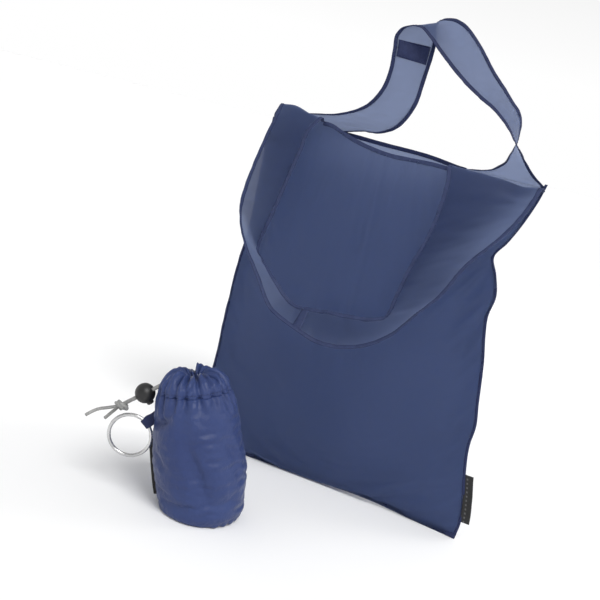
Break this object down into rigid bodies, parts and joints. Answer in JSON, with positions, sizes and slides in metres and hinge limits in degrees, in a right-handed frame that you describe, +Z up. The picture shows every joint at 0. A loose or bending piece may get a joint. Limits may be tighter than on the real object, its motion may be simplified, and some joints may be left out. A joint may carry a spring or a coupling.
{
  "type": "foldable tote bag",
  "caption": "Flat unlined nylon tote with wide cut-on shoulder handles, standing open, beside its filled drawcord pouch with ball cord lock and key ring.",
  "frame": {"origin": "middle of the underside of the tote's bottom seam, on the floor", "axes": "+X to the right across the front panel, +Y from the front panel to the back panel, +Z up"},
  "size_m": [0.38, 0.3041, 0.5806],
  "materials": {
    "tote_cloth": "fine plain-weave nylon, slightly see-through in one layer",
    "tote_binding": "doubled and stitched nylon hem",
    "pouch_cloth": "crinkled nylon with a soft sheen",
    "woven_label": "black woven damask tape",
    "drawcord": "braided grey cord",
    "lock_plastic": "moulded black plastic",
    "spring_steel": "drawn spring wire",
    "ring_metal": "polished nickel plate"
  },
  "bodies": {
    "tote": {"front_panel": "tote_cloth", "back_panel": "tote_cloth", "left_side_seam": "tote_binding", "right_side_seam": "tote_binding", "bottom_seam": "tote_binding", "front_rim_binding": "tote_binding", "back_rim_binding": "tote_binding", "tote_label": "woven_label"},
    "front_handle": {"front_handle_left": "tote_cloth", "front_handle_right": "tote_cloth", "front_handle_joint_seam": "tote_binding", "front_handle_outer_binding": "tote_binding", "front_handle_inner_binding": "tote_binding"},
    "back_handle": {"back_handle_left": "tote_cloth", "back_handle_right": "tote_cloth", "back_handle_joint_seam": "tote_binding", "back_handle_outer_binding": "tote_binding", "back_handle_inner_binding": "tote_binding"},
    "pouch": {"pouch_shell": "pouch_cloth", "pouch_base": "pouch_cloth", "drawcord_casing": "pouch_cloth", "folded_tote_filling": "pouch_cloth", "drawcord_loop": "drawcord", "drawcord_strand_long": "drawcord", "drawcord_strand_short": "drawcord", "cord_knot": "drawcord", "key_loop_tab": "pouch_cloth", "pouch_label": "woven_label"},
    "cord_lock": {"cord_lock_shell": "lock_plastic", "cord_lock_spring": "spring_steel"},
    "lock_button": {"cord_lock_plunger": "lock_plastic"},
    "key_ring": {"key_ring": "ring_metal", "gate_pin": "spring_steel"},
    "ring_gate": {"ring_gate": "ring_metal"}
  },
  "joints": [
    {"name": "front_handle_swing", "type": "hinge", "parent": "tote", "child": "front_handle", "pos_m": [0, -0.014, 0.424], "axis": [-1, 0, 0], "range_deg": [0, 160]},
    {"name": "back_handle_swing", "type": "hinge", "parent": "tote", "child": "back_handle", "pos_m": [0, 0.022, 0.424], "axis": [-1, 0, 0], "range_deg": [0, 100]},
    {"name": "pouch_lift", "type": "slide", "parent": "tote", "child": "pouch", "axis": [0, 0, 1], "range_m": [0, 0.25]},
    {"name": "cord_lock_slide", "type": "slide", "parent": "pouch", "child": "cord_lock", "axis": [-0.7152, -0.2745, -0.6428], "range_m": [0, 0.011]},
    {"name": "lock_button_press", "type": "slide", "parent": "cord_lock", "child": "lock_button", "axis": [-0.6001, -0.2304, 0.766], "range_m": [0, 0.0024], "stiffness_N_per_m": 200, "springref_m": -0.003, "deforming": ["cord_lock_spring"]},
    {"name": "key_ring_swing", "type": "hinge", "parent": "pouch", "child": "key_ring", "pos_m": [-0.13688, -0.22619, 0.08562], "axis": [-0.7152, -0.2745, 0.6428], "range_deg": [-20, 40]},
    {"name": "ring_gate_swing", "type": "hinge", "parent": "key_ring", "child": "ring_gate", "pos_m": [-0.1639, -0.23656, 0.04988], "axis": [-0.3584, 0.9336, 0], "range_deg": [0, 20], "stiffness_Nm_per_rad": 0.02, "springref_deg": -17.19}
  ]
}
